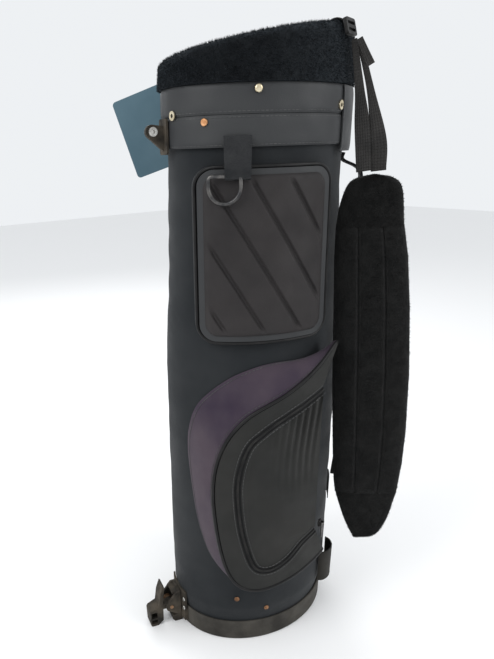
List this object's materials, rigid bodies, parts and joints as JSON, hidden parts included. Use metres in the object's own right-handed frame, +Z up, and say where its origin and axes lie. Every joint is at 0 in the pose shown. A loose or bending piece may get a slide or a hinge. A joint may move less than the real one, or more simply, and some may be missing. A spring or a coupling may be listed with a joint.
{
  "type": "golf bag",
  "caption": "Oval golf carry bag with a plush rim, zipped side pocket, moulded ball pocket, padded shoulder strap and a kick foot for its stand.",
  "frame": {"origin": "centre of the underside of the base cup", "axes": "+X along the long axis of the oval section towards the shoulder strap side, -Y towards the pockets, +Z up"},
  "size_m": [0.3262, 0.371, 0.8475],
  "materials": {
    "body_cloth": "plain-woven coated nylon, matt",
    "cuff_vinyl": "dark grey grained vinyl",
    "fur": "short black plush pile",
    "moulded_foam": "dark embossed foam, matt",
    "purple_cloth": "faded purple woven nylon",
    "piping": "black vinyl piping",
    "zip_cloth": "black zip tape",
    "sleeve_cloth": "worn black nylon",
    "hook_tape": "hook-and-loop tape, fuzzy",
    "webbing": "ribbed polyester webbing",
    "base_plastic": "grey-brown scuffed moulded plastic",
    "board": "dark fibre board",
    "ring_plastic": "black moulded plastic",
    "divider_foam": "fleece-covered bar",
    "stay_rod": "glass-fibre rod",
    "stand_plastic": "dark moulded nylon, dusty",
    "bright_steel": "nickel plate, dulled",
    "rusty_steel": "steel with rust",
    "brass_rivet": "brass, dulled",
    "copper_rivet": "copper-coloured, dulled",
    "rusty_rivet": "corroded brass",
    "tag_card": "pale blue-grey card, plain"
  },
  "bodies": {
    "bag": {"ball_pocket_panel": "cuff_vinyl", "ball_pocket_piping": "piping", "ball_pocket_wall": "body_cloth", "base_cup": "base_plastic", "base_rivets": "rusty_rivet", "body_shell": "body_cloth", "collar_ring": "ring_plastic", "cuff_lower": "cuff_vinyl", "cuff_upper": "cuff_vinyl", "divider_back": "body_cloth", "divider_bars": "divider_foam", "divider_front": "body_cloth", "divider_long": "body_cloth", "dome_rivets": "brass_rivet", "eyelet_rivets": "bright_steel", "flat_rivets": "copper_rivet", "floor_board": "board", "fur_collar": "fur", "grab_handle": "webbing", "leg_lug": "stand_plastic", "lower_anchor": "webbing", "lug_bolt": "bright_steel", "lug_nut": "bright_steel", "moulded_panel": "moulded_foam", "plate_rivets": "bright_steel", "ring_tab": "hook_tape", "saddle_plate": "stand_plastic", "side_pocket_border": "body_cloth", "side_pocket_flap": "body_cloth", "side_pocket_gusset": "purple_cloth", "side_pocket_piping": "piping", "spine_cover": "cuff_vinyl", "stand_bracket": "stand_plastic", "stand_pin": "rusty_steel", "stand_spring": "rusty_steel", "stand_stop": "stand_plastic", "stays": "stay_rod", "strap_anchor": "webbing", "strap_buckle": "stand_plastic", "tag_hook": "bright_steel", "umbrella_sleeve": "sleeve_cloth", "zip_tape": "zip_cloth"},
    "strap": {"shoulder_pad": "fur", "pad_top_cap": "fur", "pad_bottom_cap": "fur", "webbing_left": "webbing", "webbing_right": "webbing", "webbing_tail": "webbing", "lower_webbing": "webbing"},
    "accessory_ring": {"d_ring": "bright_steel"},
    "slider": {"zip_slider": "bright_steel"},
    "puller": {"zip_puller": "bright_steel"},
    "foot": {"kick_foot": "stand_plastic"},
    "tag": {"bag_tag": "tag_card"}
  },
  "joints": [
    {"name": "strap_swing", "type": "hinge", "parent": "bag", "child": "strap", "pos_m": [0.10345, -0.06893, 0.211], "axis": [-0.0823, -0.0526, 0.9952], "range_deg": [0, 60]},
    {"name": "ring_swing", "type": "hinge", "parent": "bag", "child": "accessory_ring", "pos_m": [-0.11496, -0.07626, 0.684], "axis": [-0.6987, 0.7154, 0], "range_deg": [0, 100]},
    {"name": "zip_travel", "type": "slide", "parent": "bag", "child": "slider", "axis": [0, 0, 1], "range_m": [0, 0.06]},
    {"name": "puller_flip", "type": "hinge", "parent": "slider", "child": "puller", "pos_m": [0.01328, -0.14045, 0.206], "axis": [-0.9977, -0.0672, 0], "range_deg": [0, 150]},
    {"name": "kick_fold", "type": "hinge", "parent": "bag", "child": "foot", "pos_m": [-0.14844, 0.02721, 0.034], "axis": [0.2563, 0.9666, 0], "range_deg": [0, 25], "stiffness_Nm_per_rad": 0.4, "springref_deg": -20.05},
    {"name": "tag_swing", "type": "hinge", "parent": "bag", "child": "tag", "pos_m": [-0.04426, 0.13672, 0.79481], "axis": [0.6691, 0.7431, 0], "range_deg": [-4, 20]}
  ]
}
